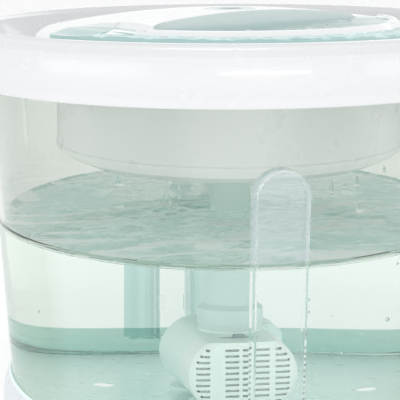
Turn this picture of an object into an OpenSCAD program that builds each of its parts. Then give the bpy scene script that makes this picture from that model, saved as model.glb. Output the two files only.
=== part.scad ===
// Pet water fountain: clear tank on a low stand, white ring with a hanging basin,
// domed drinking tray with a half-moon bowl, and a small pump with an upright riser tube.
// Millimetres, +Z up. Origin: centre of the stand's foot plane. The front faces -Y.

/* [Stand] */
// How far the stand reaches past the tank's foot
stand_margin = 4.5; // [3.5:0.1:10]
// Height of the stand's lip above the table
stand_h = 29.4; // [27:0.2:36]
// Thickness of the stand's walls
stand_wall = 2.4; // [1.8:0.1:3]
// Height of the seat that the tank stands on
seat_z = 19.6; // [16:0.2:21]
// How far the rubber feet stand out below the stand
foot_drop = 1.6; // [1:0.1:3]
// Radius of a rubber foot
foot_r = 7; // [5:0.5:9]
// Distance from the stand's edge to the middle of a foot
foot_in = 19.5; // [14:0.5:30]
// Number of ribs under the seat
stand_ribs = 12; // [6:2:16]
// Depth of the ribs under the seat
rib_drop = 4; // [3:0.5:8]

/* [Tank] */
// Outer radius of the tank at its foot
tank_r = 81; // [76:0.5:88]
// Draft of the tank's wall, in degrees
tank_draft = 2.95; // [2:0.05:3.1]
// Height of the tank
tank_h = 121.4; // [118:0.2:135]
// Thickness of the tank's wall
tank_wall = 2.4; // [2:0.1:2.6]
// Thickness of the tank's floor
tank_floor = 2.4; // [2:0.1:3]
// Radius of the round between the tank's wall and floor, outside
tank_round = 5; // [4:0.5:7]
// Width of the notch in the rim that a pump lead leaves by
lead_notch_w = 7; // [5:0.5:9]

/* [Sight channel] */
// Width of the arch-topped channel on the front wall
sight_w = 17.2; // [14:0.2:22]
// Height of the channel's arched top above the table
sight_top = 117; // [100:1:122]
// How far the channel stands in from the wall
sight_d = 4.6; // [3.5:0.1:6]
// Thickness of the channel's walls
sight_wall = 1.4; // [1:0.1:1.8]

/* [Lead guide] */
// Width over both rails of the guide on the back wall
guide_w = 22; // [18:0.5:26]
// Width of the slot between the rails
guide_slot = 7.6; // [5:0.2:9]
// How far the rails stand in from the wall
guide_d = 6.5; // [4:0.5:8]
// Height of the guide's top above the table
guide_top = 131; // [100:1:133]

/* [Ring] */
// How far the ring's lower edge stands out past the tank's rim
ring_reach = 7.75; // [6.5:0.05:10]
// How far the ring's face swells past its lower edge
ring_swell = 1.5; // [0.5:0.1:2.5]
// Height of the ring's white face
ring_h = 18.5; // [17.5:0.1:22]
// Height of the ring's crest above the tank's rim
ring_rise = 14; // [13:0.1:15]
// How far the crest line lies inside the ring's lower edge
crest_in = 2.4; // [1.8:0.1:3.2]
// Width of the moat between the ring and the drinking tray
moat_w = 11.5; // [9:0.5:14]
// Radius of the crest's round
crest_round = 2.4; // [1.8:0.1:2.6]
// Thickness of the ring's skins
ring_wall = 2.2; // [1.8:0.1:2.4]
// Number of stop ribs inside the ring
ring_ribs = 16; // [8:2:24]

/* [Basin] */
// Depth of the basin from its flange to the skirt's lower edge
basin_h = 29.4; // [27:0.2:34]
// Thickness of the basin's wall
basin_wall = 1.8; // [1.4:0.1:2.2]
// Width of the basin's flange past the skirt
flange_w = 6.6; // [5:0.2:7]
// Thickness of the basin's flange
flange_t = 2; // [1.6:0.1:2.2]
// How far the stepped floor lies inside the skirt
step_in = 2.8; // [2:0.1:5]
// How far the stepped floor hangs below the skirt
step_h = 5; // [4:0.2:7]
// Radius of a drain hole in the stepped floor
drain_r = 1.6; // [1:0.1:2]

/* [Filter cartridge] */
// Height of the cartridge cup
cup_h = 6; // [5:0.2:7]
// Thickness of the cup's wall and floor, and of its lid
cup_wall = 1.2; // [0.8:0.1:1.6]
// Thickness of the felt pad
felt_t = 1.4; // [1:0.1:2]

/* [Drinking tray] */
// Height of the dome's top above the ring's crest
dome_rise = 3.9; // [3:0.1:6]
// Width of the rounded shoulder round the dome
shoulder_w = 5.4; // [4:0.1:7]
// Drop of the dome from its top to its shoulder
dome_drop = 6; // [5:0.1:8]
// How far the tray stands out past the basin's flange
tray_over = 1; // [0.4:0.1:2]
// Thickness of the tray's walls
tray_wall = 2.2; // [1.8:0.1:2.4]
// Turn of the bowl from the front towards +X, in degrees
tray_turn = 29; // [0:1:60]
// Clearance between the bowl's outside and the basin
bowl_play = 2.3; // [1:0.1:5]
// How much narrower the bowl is near its floor than at its mouth
bowl_taper = 19.5; // [14:0.5:24]
// Depth of the bowl below the ring's crest
bowl_depth = 31; // [24:0.5:32]
// Distance from the tray's middle to the bowl's straight side
bowl_chord = 12.4; // [12:0.1:16]
// Height of the raised lip round the bowl
lip_h = 1; // [0.6:0.1:1.6]
// Width of the flat floor of a spill scoop
spill_w = 14; // [10:1:18]
// Radius of the hollow sides of a spill scoop
spill_round = 5; // [3.5:0.5:6]
// Depth of a spill scoop's floor below the ring's crest
spill_depth = 2.5; // [2:0.1:3]
// Radius of the groove that leads from the bowl to a spill scoop
groove_r = 7; // [5:0.5:9]
// Radius of the spout's opening
spout_r = 7; // [6:0.1:7.4]

/* [Riser tube] */
// Outer radius of the riser tube
riser_r = 7.4; // [7.3:0.1:8]
// Thickness of the riser's wall
riser_wall = 1.4; // [1.2:0.1:1.6]

/* [Pump] */
// Width of the pump's oval body
pump_w = 31.4; // [30:0.2:34]
// Height of the pump's oval body
pump_h = 24.4; // [23.6:0.2:26]
// Distance from the riser's axis to the front of the intake face
pump_front = 22; // [20:0.5:28]
// Distance from the riser's axis to the pump's rear end
pump_back = 26; // [25:0.5:30]
// Thickness of the intake cover's wall
cover_wall = 1.6; // [1.2:0.1:2]
// Length of the tongue that the intake cover pushes onto
tongue_l = 2.2; // [1.6:0.1:3]
// Height of the suction cups under the pump
cup_stand = 1.8; // [1.6:0.1:3]
// Number of rows of intake slots
slot_rows = 10; // [4:1:10]
// Pitch of the rows of intake slots
slot_pitch = 2.1; // [1.8:0.05:2.2]
// Height of one intake slot
slot_t = 0.9; // [0.6:0.05:1.1]
// Number of impeller blades
blades = 6; // [4:1:8]
// Radius of the impeller's blades
blade_r = 8.4; // [7:0.1:8.6]
// Radius of the rotor magnet
magnet_r = 4.8; // [4:0.1:5]
// Radius of the ceramic shaft
shaft_r = 1; // [0.8:0.05:1.2]
// Radius of the lead gland
gland_r = 4.2; // [3.6:0.1:4.6]

/* [Hidden] */
$fn = 96;
// Clearance between pieces that lift apart
gap = 0.3;
// Clearance between a turning piece and its seat, on the radius
run = 0.06;
// Overlap that lets a cut pass cleanly through a face
eps = 0.5;

// Heights that several pieces share
rim_z = seat_z + tank_h;
crest_z = rim_z + ring_rise;
band_z = crest_z - ring_h;
floor_z = seat_z + tank_floor;
flange_z = rim_z - 1.6;
flange_top = flange_z + flange_t;
skirt_z = flange_top - basin_h;
step_z = skirt_z - step_h;
dome_z = crest_z + dome_rise;

// Radii that several pieces share, from the outside in
stand_r = tank_r + stand_margin;
foot_ring_r = stand_r - foot_in;
ring_r = tank_out(rim_z) + ring_reach;
crest_r = ring_r - crest_in;
moat_r = tank_in(rim_z) - 0.75 - ring_wall;
tray_r = moat_r - moat_w;
dome_r = tray_r - shoulder_w;
flange_r = tray_r - tray_over;
basin_r = flange_r - flange_w;
step_r = basin_r - step_in;
bowl_r = basin_r - basin_wall - tray_wall - bowl_play;
bowl_floor_r = bowl_r - bowl_taper;
ledge_r = basin_r + 0.6;
bore_r = riser_r + gap;
inner_r = moat_r + ring_wall;

function tank_out(z) = tank_r + (z - seat_z) * tan(tank_draft);
function tank_in(z) = tank_out(z) - tank_wall;
// Points of an arc from angle a0 to a1, n steps
function arc(cx, cy, r, a0, a1, n) =
    [for (i = [0 : n]) let (a = a0 + (a1 - a0) * i / n) [cx + r * cos(a), cy + r * sin(a)]];
// Points of a smooth three-point curve from a to c that is drawn towards b
function bend(a, b, c, n) =
    [for (i = [0 : n]) let (t = i / n) a * pow(1 - t, 2) + b * 2 * t * (1 - t) + c * t * t];

// Copies children n times round the Z axis
module round_z(n, start = 0) {
    for (i = [0 : n - 1]) rotate([0, 0, start + i * 360 / n]) children();
}

// Lays children, drawn along +Z, so that they point to -Y
module to_front() {
    rotate([90, 0, 0]) children();
}

// ---------- stand ----------

// Outline of the stand's shell: foot, swelling side, round shoulder and lip
function stand_outer() = concat(
    [[stand_r - 1.2, foot_drop]],
    bend([stand_r - 0.4, foot_drop + 0.6], [stand_r, seat_z * 0.5], [stand_r - 0.5, seat_z - 2.4], 4),
    bend([stand_r - 0.8, seat_z + 1], [stand_r - 1.1, stand_h - 4.6], [stand_lip_r + 0.3, stand_h], 6));
stand_lip_r = tank_out(stand_h) + gap;

module foot_spots(r) {
    round_z(4, 45) translate([r, 0, 0]) children();
}

module stand_shell() {
    pocket_z = foot_drop + 1.4;
    color("whitesmoke") difference() {
        union() {
            rotate_extrude() polygon(concat(stand_outer(), [
                [stand_lip_r, stand_h],
                [stand_lip_r, stand_h - 1],
                [tank_out(seat_z + 4) + gap + 0.2, seat_z + 4],
                [tank_out(seat_z) + gap + 0.2, seat_z],
                [0, seat_z],
                [0, seat_z - stand_wall],
                [stand_r - 0.5 - stand_wall * 1.6, seat_z - stand_wall],
                [stand_r - stand_wall - 0.6, foot_drop + 4],
                [stand_r - stand_wall - 1, foot_drop]]));
            foot_spots(foot_ring_r) translate([0, 0, foot_drop])
                cylinder(r = foot_r + 1.6, h = seat_z - stand_wall - foot_drop + 0.2);
            round_z(stand_ribs) intersection() {
                translate([0, -0.9, seat_z - stand_wall - rib_drop])
                    cube([stand_r - stand_wall - 1.4, 1.8, rib_drop + 0.2]);
                rotate_extrude() polygon([[14, seat_z - stand_wall + 0.2], [14, seat_z - stand_wall - 2],
                    [18, seat_z - stand_wall - rib_drop], [stand_r, seat_z - stand_wall - rib_drop],
                    [stand_r, seat_z - stand_wall + 0.2]]);
            }
            translate([0, 0, seat_z - stand_wall - 3]) difference() {
                cylinder(r = 15, h = 3.3);
                translate([0, 0, -eps]) cylinder(r = 13, h = 5);
            }
        }
        foot_spots(foot_ring_r) translate([0, 0, foot_drop - eps])
            cylinder(r = foot_r, h = pocket_z - foot_drop + eps);
        // drains that let spilled water run out from under the tank
        round_z(6, 15) translate([40, 0, seat_z - stand_wall - 1]) cylinder(r = 2.5, h = stand_wall + 2);
    }
}

module stand_feet() {
    color("gainsboro") foot_spots(foot_ring_r) rotate_extrude() polygon(concat(
        [[0, foot_drop + 1.4], [0, 0.5], [foot_r * 0.5, 0.5], [foot_r * 0.5 + 0.5, 0]],
        arc(foot_r - 0.8, 0.6, 0.6, -90, 0, 4),
        [[foot_r - 0.2, foot_drop], [foot_r, foot_drop], [foot_r, foot_drop + 1.4]]));
}

// ---------- tank ----------

// Centre radius of a round of radius r at height z that runs into the drafted wall w inside
function round_cx(r, z, w) = tank_out(z) - w - r * (1 - sin(tank_draft)) / cos(tank_draft);

module tank() {
    inner_round = tank_round - tank_wall;
    color([0.8, 0.92, 0.9, 0.35]) difference() {
        rotate_extrude() polygon(concat(
            [[0, seat_z + 0.8], [tank_r - 21, seat_z + 0.8], [tank_r - 20, seat_z]],
            arc(round_cx(tank_round, seat_z, 0), seat_z + tank_round, tank_round, -90, -tank_draft, 8),
            [[tank_out(rim_z - 0.6), rim_z - 0.6], [tank_out(rim_z) - 0.6, rim_z],
             [tank_in(rim_z) + 0.6, rim_z], [tank_in(rim_z - 0.6), rim_z - 0.6]],
            arc(round_cx(inner_round, floor_z, tank_wall), floor_z + inner_round, inner_round,
                -tank_draft, -90, 6),
            [[0, floor_z]]));
        // notch in the back of the rim for a pump lead
        translate([0, tank_out(rim_z) - 6, rim_z]) rotate([-90, 0, 0]) {
            translate([-lead_notch_w / 2, -eps, 0]) cube([lead_notch_w, 3 + eps, 12]);
            translate([0, 3, 0]) cylinder(r = lead_notch_w / 2, h = 12);
        }
    }
}

// Shell that follows the tank's inner wall, from depth d0 to d1 inside it
module wall_shell(d0, d1, z0, z1) {
    rotate_extrude() polygon([[tank_in(z0) - d1, z0], [tank_in(z0) - d0, z0],
                              [tank_in(z1) - d0, z1], [tank_in(z1) - d1, z1]]);
}

// Upright slab with a round top, width w, from z0 up to z1, standing across the -Y side
module arch_slab(w, z0, z1) {
    translate([0, -tank_r + 25, 0]) to_front() {
        translate([-w / 2, z0, 0]) cube([w, z1 - w / 2 - z0, 40]);
        translate([0, z1 - w / 2, 0]) cylinder(r = w / 2, h = 40);
    }
}

module sight_channel() {
    z0 = floor_z + tank_round;
    color([0.75, 0.85, 0.95, 0.4]) difference() {
        intersection() {
            wall_shell(0, sight_d, z0, rim_z);
            arch_slab(sight_w, z0, sight_top);
        }
        intersection() {
            wall_shell(-1, sight_d - sight_wall, z0 - 1, rim_z);
            arch_slab(sight_w - 2 * sight_wall, z0 - 1, sight_top - sight_wall);
        }
        // port at the foot that lets the water in
        translate([-3, -tank_r, z0 - 1]) cube([6, 20, 5]);
    }
}

module lead_guide() {
    z0 = floor_z + tank_round;
    rail_w = (guide_w - guide_slot) / 2;
    color([0.7, 0.85, 0.85, 0.5]) rotate([0, 0, 180]) {
        intersection() {
            wall_shell(0, 1.4, z0, guide_top);
            translate([-guide_w / 2, -tank_r - 20, z0]) cube([guide_w, 50, guide_top - z0]);
        }
        for (s = [-1, 1]) intersection() {
            wall_shell(1.2, guide_d, z0, guide_top);
            translate([s * (guide_w - rail_w) / 2 - rail_w / 2, -tank_r - 20, z0])
                cube([rail_w, 50, guide_top - z0]);
        }
        // lips that hold a lead in the slot
        for (k = [0 : 3], s = [-1, 1]) intersection() {
            wall_shell(guide_d - 1.2, guide_d, z0, guide_top);
            translate([s * (guide_slot / 2 - 0.5) - 1, -tank_r - 20, z0 + 12 + k * 24])
                cube([2, 50, 6]);
        }
    }
}

// ---------- ring ----------

ring_top_in = [crest_r - 5.2, crest_z - 6];
ring_low = flange_z - ring_wall;

// Inner bowl of the ring, from the crest down to the moat's floor
function ring_inside() = concat(
    arc(crest_r, crest_z - crest_round, crest_round, 98, 145, 5),
    bend([crest_r - 3, crest_z - 1.9], ring_top_in, [moat_r + 1, rim_z + 2.6], 8),
    bend([moat_r + 0.4, rim_z + 1.8], [moat_r - 0.6, rim_z + 0.9], [moat_r - 3, rim_z + 0.7], 3));

module ring() {
    color("white") difference() {
        union() {
            rotate_extrude() polygon(concat(
                [[ring_r - ring_wall, band_z], [ring_r - 0.6, band_z]],
                arc(ring_r - 0.6, band_z + 0.6, 0.6, -60, 0, 2),
                bend([ring_r + 0.3, band_z + 3], [ring_r + ring_swell * 1.6, band_z + ring_h * 0.5],
                     [crest_r + crest_round + 1.2, crest_z - crest_round - 1.2], 12),
                arc(crest_r, crest_z - crest_round, crest_round, 20, 90, 8),
                ring_inside(),
                [[flange_r + 0.6, rim_z + 0.2], [flange_r + 0.4, flange_z], [ledge_r, flange_z],
                 [ledge_r, ring_low], [flange_r + 0.4 + ring_wall, ring_low],
                 [flange_r + 0.4 + ring_wall, rim_z + 0.3 - ring_wall],
                 [moat_r - 2.6, rim_z + 0.7 - ring_wall], [moat_r, rim_z - 0.6], [moat_r, ring_low],
                 [inner_r - 0.3, ring_low], [inner_r, ring_low + 0.3], [inner_r, rim_z + 1.6]],
                bend([inner_r + 1.4, rim_z + 4], [ring_top_in[0] + 1.4, ring_top_in[1] - 0.2],
                     [crest_r - 1.2, crest_z - ring_wall - 0.8], 4),
                bend([crest_r + 0.4, crest_z - ring_wall - 0.9],
                     [ring_r + ring_swell * 1.2 - ring_wall, crest_z - 5],
                     [ring_r + ring_swell * 0.8 - ring_wall, band_z + ring_h * 0.45], 4)));
            // ribs that rest on the tank's rim and centre it
            round_z(ring_ribs, 180 / ring_ribs) intersection() {
                translate([moat_r - 5, -0.9, band_z]) cube([ring_r - moat_r + 8, 1.8, ring_h]);
                rotate_extrude() polygon(concat(
                    [[inner_r - 0.4, rim_z], [tank_out(rim_z) + gap, rim_z],
                     [tank_out(rim_z) + gap, band_z + 1.2], [ring_r - ring_wall + 0.3, band_z + 1.2],
                     [ring_r + ring_swell * 0.8 - ring_wall + 0.3, band_z + ring_h * 0.45],
                     [crest_r + 0.4, crest_z - ring_wall - 0.6]],
                    bend([crest_r - 1.2, crest_z - ring_wall - 0.5],
                         [ring_top_in[0] + 1.1, ring_top_in[1] + 0.1], [inner_r + 1.1, rim_z + 4], 4),
                    [[inner_r - 0.4, rim_z + 1.6]]));
            }
        }
        // arch in the back of the skirt for a pump lead
        translate([0, ring_r - 5, band_z]) rotate([-90, 0, 0]) cylinder(r = lead_notch_w / 2, h = 8);
    }
}

// ---------- basin ----------

module basin() {
    top_r = basin_r - 1;
    color([0.9, 0.93, 0.9, 0.6]) {
        rotate_extrude() polygon([
            [basin_r - basin_wall, skirt_z], [basin_r, skirt_z], [basin_r, skirt_z + 1.4],
            [basin_r - 0.3, skirt_z + 1.8], [top_r, flange_z - ring_wall], [top_r, flange_z],
            [flange_r, flange_z], [flange_r, flange_top - 0.4], [flange_r - 0.4, flange_top],
            [top_r - basin_wall, flange_top], [basin_r - basin_wall - 0.3, skirt_z + 3]]);
        // two snap hooks that hold the stepped floor
        for (a = [0, 180]) rotate([0, 0, hook_turn + a]) intersection() {
            translate([basin_r - 4, -3.4, skirt_z - 2.8]) cube([4, 6.8, 3]);
            rotate_extrude() polygon([[basin_r - basin_wall, skirt_z + 0.2],
                [basin_r - basin_wall, skirt_z - 0.4], [step_r + 0.1, skirt_z - 1],
                [step_r + 0.1, skirt_z - 1.6], [basin_r - 1, skirt_z - 2.8],
                [basin_r - 0.2, skirt_z - 2.2], [basin_r - 0.2, skirt_z + 0.2]]);
        }
    }
}
// The snap hooks lie a little off the sides, turned with the basin
hook_turn = -11;

module basin_floor() {
    plug_r = basin_r - basin_wall - 0.45;
    color([0.88, 0.92, 0.9, 0.6]) difference() {
        union() {
            rotate_extrude() polygon([[bore_r, step_z], [step_r - 6, step_z],
                [step_r, step_z + step_h * 0.55], [step_r, skirt_z - 1.2], [step_r, skirt_z],
                [plug_r, skirt_z], [plug_r, skirt_z + 2.4], [plug_r - 1.4, skirt_z + 2.4],
                [plug_r - 1.4, skirt_z + 0.6], [step_r - 1.8, step_z + step_h * 0.6],
                [step_r - 6.6, step_z + 1.6], [bore_r + 1.6, step_z + 1.6],
                [bore_r + 1.6, step_z + 5], [bore_r, step_z + 5]]);
            round_z(8) translate([bore_r + 1, -0.7, step_z + 1.4])
                cube([step_r - 9 - bore_r, 1.4, 0.8]);
        }
        for (k = [1 : 3]) round_z(6 * k + 2, 11.25) translate([8 + 12 * k, 0, step_z - eps])
            cylinder(r = drain_r, h = 1.6 + 2 * eps);
    }
}

// ---------- filter cartridge ----------

cup_z = step_z + 1.6 + 0.8;
cup_r = step_r - 8;
core_r = bore_r + 1.6 + 0.5;

module cartridge_cup() {
    color("ghostwhite") difference() {
        rotate_extrude() polygon([[core_r, cup_z], [cup_r - 1, cup_z], [cup_r, cup_z + 1],
            [cup_r + 1, cup_z + cup_h - 1.2], [cup_r + 2.4, cup_z + cup_h - 1.2],
            [cup_r + 2.4, cup_z + cup_h], [cup_r + 1 - cup_wall, cup_z + cup_h],
            [cup_r - cup_wall, cup_z + cup_wall], [core_r + cup_wall, cup_z + cup_wall],
            [core_r + cup_wall, cup_z + cup_h], [core_r, cup_z + cup_h]]);
        for (k = [1 : 3]) round_z(6 * k + 2, 22.5) translate([7 + 11 * k, 0, cup_z - eps])
            cylinder(r = drain_r, h = cup_wall + 2 * eps);
    }
}

// Flat ring of the cup's inner width, from z up by t, held g clear of the walls
module cup_layer(z, t, g) {
    rotate_extrude() polygon([[core_r + cup_wall + g, z], [cup_r - cup_wall - g, z],
        [cup_r - cup_wall - g + t / cup_h, z + t], [core_r + cup_wall + g, z + t]]);
}

lid_z = cup_z + cup_h;
module filter_carbon() {
    color("dimgray") cup_layer(cup_z + cup_wall, cup_h - cup_wall - felt_t, 0.1);
}

module filter_felt() {
    color("white") cup_layer(lid_z - felt_t, felt_t, 0.1);
}

module cartridge_lid() {
    bars = 16;
    color("ghostwhite") {
        rotate_extrude() polygon([[cup_r - 3, lid_z], [cup_r + 2.4, lid_z],
            [cup_r + 2.4, lid_z + cup_wall - 0.4], [cup_r + 2, lid_z + cup_wall],
            [cup_r - 3, lid_z + cup_wall]]);
        rotate_extrude() translate([core_r, lid_z]) square([4, cup_wall]);
        rotate_extrude() translate([(core_r + cup_r) / 2, lid_z]) square([1.6, cup_wall]);
        round_z(bars) translate([core_r + 3.6, -0.6, lid_z]) cube([cup_r - core_r - 6, 1.2, cup_wall]);
    }
}

// ---------- drinking tray ----------

// Height of the dome's top face at radius r
function dome_at(r) = dome_z - dome_drop * pow(r / dome_r, 2);
// Radius of the bowl at height z inside, from the mouth down to the floor round
bowl_z = crest_z - bowl_depth;
function bowl_curve(w) = concat(
    [[0, dome_z + 4], [bowl_r + w, dome_z + 4], [bowl_r + w, crest_z - 2]],
    bend([bowl_r - 1 + w, crest_z - 6], [bowl_r - 9 + w, bowl_z + 12],
         [bowl_floor_r + 4 + w, bowl_z + 6 - w * 0.6], 6),
    bend([bowl_floor_r + 2.6 + w, bowl_z + 4 - w * 0.6], [bowl_floor_r + w, bowl_z - w],
         [bowl_floor_r - 5, bowl_z - w], 4));

// Everything on the bowl's side of its straight wall, with rounded upright corners
module bowl_side(chord, r, corner) {
    // the corner's circle touches the straight wall and nearly touches the round one
    cx = sqrt(pow(r - corner, 2) - pow(chord + corner, 2));
    cy = -(chord + corner);
    a = atan2(cy, cx) + 9;
    out = [cx + corner * cos(a) + 9 * sin(a), cy + corner * sin(a) - 9 * cos(a)];
    half = concat(arc(cx, cy, corner, 90, a, 6), [out, [r + 20, out[1] - 12], [r + 20, -r - 20]]);
    translate([0, 0, bowl_z - 10]) linear_extrude(height = 60) polygon(concat(half,
        [for (k = [len(half) - 1 : -1 : 0]) [-half[k][0], half[k][1]]]));
}

module bowl_outer() {
    intersection() {
        rotate_extrude() polygon(concat(bowl_curve(tray_wall), [[0, bowl_z - tray_wall]]));
        bowl_side(bowl_chord - tray_wall, bowl_r + tray_wall, 12 + tray_wall);
    }
}

module bowl_inner() {
    intersection() {
        rotate_extrude() polygon(concat(bowl_curve(0), [[0, bowl_z]]));
        bowl_side(bowl_chord, bowl_r, 12);
    }
}

// Solid under the dome's face, drawn in by t, down to height z0
module dome_solid(t, z0) {
    edge_r = tray_r - t;
    rotate_extrude() polygon(concat(
        [[0, z0], [edge_r, z0], [edge_r, crest_z - 9.5]],
        bend([edge_r, crest_z - 9], [edge_r - 0.4, dome_at(dome_r) - 1.6 - t],
             [dome_r - t * 0.4, dome_at(dome_r) - t], 6),
        [for (k = [9 : -1 : 0]) let (r = (dome_r - 1.5) * k / 9) [r, dome_at(r) - t]]));
}

// Round scoop with a flat floor and hollow sides
module spill_scoop() {
    rotate_extrude() polygon(concat([[0, spill_z]],
        arc(spill_w / 2, spill_z + spill_round, spill_round, -90, -20, 5),
        [[spill_w / 2 + spill_round + 3, dome_z + 6], [0, dome_z + 6]]));
}
spill_z = crest_z - spill_depth;

// Lays children just past both ends of the bowl, where the water runs over the dome's edge
module spill_spots() {
    for (s = [-1, 1]) translate([s * (bowl_r + 1.5), 4, 0]) children();
}

// Shallow round groove, or with w the block under it, from the bowl's corner to a scoop
module spill_groove(w) {
    for (s = [-1, 1]) translate([s * (bowl_r - groove_r + 0.5), -24, spill_z + 0.9]) {
        if (w == 0) translate([0, 0, groove_r]) rotate([-90, 0, 0]) cylinder(r = groove_r, h = 28);
        else translate([-groove_r + 1, -1, -w]) cube([2 * groove_r - 2, 29, w + 6]);
    }
}

module drinking_tray() {
    skirt_low = flange_top + 2.4;
    rest_r = flange_r - 3.4;
    socket_z = bowl_z + 14;
    color("white") rotate([0, 0, tray_turn]) difference() {
        union() {
            // domed top with a short skirt
            difference() {
                dome_solid(0, skirt_low);
                dome_solid(tray_wall, skirt_low - 1);
            }
            // bowl, scoop floors and the riser's socket, cut off under the dome's face
            intersection() {
                union() {
                    bowl_outer();
                    spill_spots() translate([0, 0, spill_z - tray_wall])
                        cylinder(r = spill_w / 2 + spill_round + tray_wall, h = 12);
                    spill_groove(tray_wall);
                    translate([0, 0, socket_z]) cylinder(r = bore_r + 1.8, h = dome_z - socket_z);
                }
                dome_solid(tray_wall / 2, bowl_z - tray_wall);
            }
            // raised lip along the bowl's round side
            intersection() {
                rotate_extrude() polygon(concat(
                    [[bowl_r - 1, crest_z - 2.4], [bowl_r - 1, dome_at(bowl_r) + lip_h - 1.1]],
                    arc(bowl_r + 1.4, dome_at(bowl_r) + lip_h - 1.2, 1.4, 150, 40, 4),
                    [[bowl_r + 5, dome_at(bowl_r + 5) - 0.3], [bowl_r + 5, crest_z - 2.4]]));
                linear_extrude(height = crest_z + 10) polygon([[0, 0], [-lip_x, -90], [lip_x, -90]]);
            }
            // ring of arches that the tray stands on
            difference() {
                intersection() {
                    rotate_extrude() translate([rest_r, flange_top]) square([2, crest_z - flange_top]);
                    dome_solid(tray_wall / 2, flange_top - 2);
                }
                round_z(12, 15) translate([rest_r - 3, 0, 0]) to_side()
                    translate([-6, flange_top - 1, 0]) cube([12, 4, 8]);
            }
        }
        bowl_inner();
        spill_spots() spill_scoop();
        spill_groove(0);
        translate([0, 0, socket_z - eps]) cylinder(r = bore_r, h = riser_top - socket_z + gap + eps);
        cylinder(r = spout_r, h = dome_z + 5);
        translate([0, 0, dome_z - 1.8]) cylinder(r = spout_r + 2, h = 6);
    }
}
lip_x = 90 * tan(70);
riser_top = dome_z - 5.6;

// Turns children, drawn upright in XY, so that they run along +X with Y up
module to_side() {
    rotate([90, 0, 90]) children();
}

module spout_ring() {
    color("silver") rotate_extrude() polygon(concat(
        [[spout_r - 1.4, dome_z - 4.6], [spout_r - 0.1, dome_z - 4.6], [spout_r - 0.1, dome_z - 1.8],
         [spout_r + 1.9, dome_z - 1.8], [spout_r + 1.9, dome_z - 0.6]],
        bend([spout_r + 1.5, dome_z - 0.1], [spout_r, dome_z + 0.5], [spout_r - 1.4, dome_z - 0.4], 4)));
}

// ---------- riser ----------

module riser_tube() {
    low = pump_top + 0.8 + 1.6;
    color([0.85, 0.92, 0.92, 0.6]) difference() {
        union() {
            translate([0, 0, low]) cylinder(r = riser_r, h = riser_top - low);
            translate([0, 0, low]) cylinder(r = riser_r + 1.6, h = 6);
            translate([0, 0, low + 6]) cylinder(r1 = riser_r + 1.6, r2 = riser_r, h = 1.6);
        }
        translate([0, 0, low - eps]) cylinder(r = riser_r - riser_wall, h = riser_top - low + 2 * eps);
        translate([0, 0, low - eps]) cylinder(r = sleeve_r + 0.05, h = 5 + eps);
    }
}

spigot_r = 5;
sleeve_r = 6.4;
module outlet_sleeve() {
    color("lightgray") translate([0, 0, pump_top + 0.8]) difference() {
        union() {
            cylinder(r = riser_r + 1.2, h = 1.6);
            cylinder(r = sleeve_r, h = 6.2);
        }
        translate([0, 0, -eps]) cylinder(r = spigot_r + 0.05, h = 8);
    }
}

// ---------- pump ----------

pump_z = floor_z + cup_stand + pump_h / 2;
pump_top = pump_z + pump_h / 2;
oval_r = pump_w / 2;
oval_corner = 4;
oval_x = sqrt(pow(oval_r - oval_corner, 2) - pow(pump_h / 2 - oval_corner, 2));
// Half width of the pump's outline at height h above its axis, drawn in by g
function oval_half(h, g) = min(sqrt(pow(oval_r - g, 2) - h * h), oval_x + sqrt(max(0,
    pow(oval_corner - g, 2) - pow(max(0, abs(h) - pump_h / 2 + oval_corner), 2)))
    + (abs(h) < pump_h / 2 - oval_corner ? oval_r : 0));
split_y = -8.6;
chamber_r = blade_r + 0.6;
seat_r = chamber_r + 1.6;
seal_r = chamber_r + 0.95;
seal_t = 0.4;
well_r = magnet_r + 0.5;
well_end = 21.5;

// Bar along Y from y0 to y1: a round outline cut flat above and below, drawn in by g
module oval_bar(y0, y1, g = 0) {
    high = pump_h / 2 - g;
    far = pump_w;
    slope = (pump_h / 2 - oval_corner) / oval_x;
    translate([0, y1, pump_z]) to_front() {
        for (m = [0, 1]) mirror([m, 0, 0]) {
            intersection() {
                cylinder(r = oval_r - g, h = y1 - y0);
                linear_extrude(height = y1 - y0) polygon([[0, 0], [far, -far * slope], [far, far * slope]]);
            }
            for (n = [-1, 1]) translate([oval_x, n * (pump_h / 2 - oval_corner), 0])
                cylinder(r = oval_corner - g, h = y1 - y0);
        }
        translate([-oval_x, -high, 0]) cube([2 * oval_x, 2 * high, y1 - y0]);
    }
}

// Bar along Y, round section, from y0 to y1
module bar_y(r, y0, y1) {
    translate([0, y1, pump_z]) to_front() cylinder(r = r, h = y1 - y0);
}

// Turned piece along Y: outline points are [radius, y]
module turned_y(points) {
    translate([0, 0, pump_z]) rotate([-90, 0, 0]) rotate_extrude() polygon(points);
}

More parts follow.
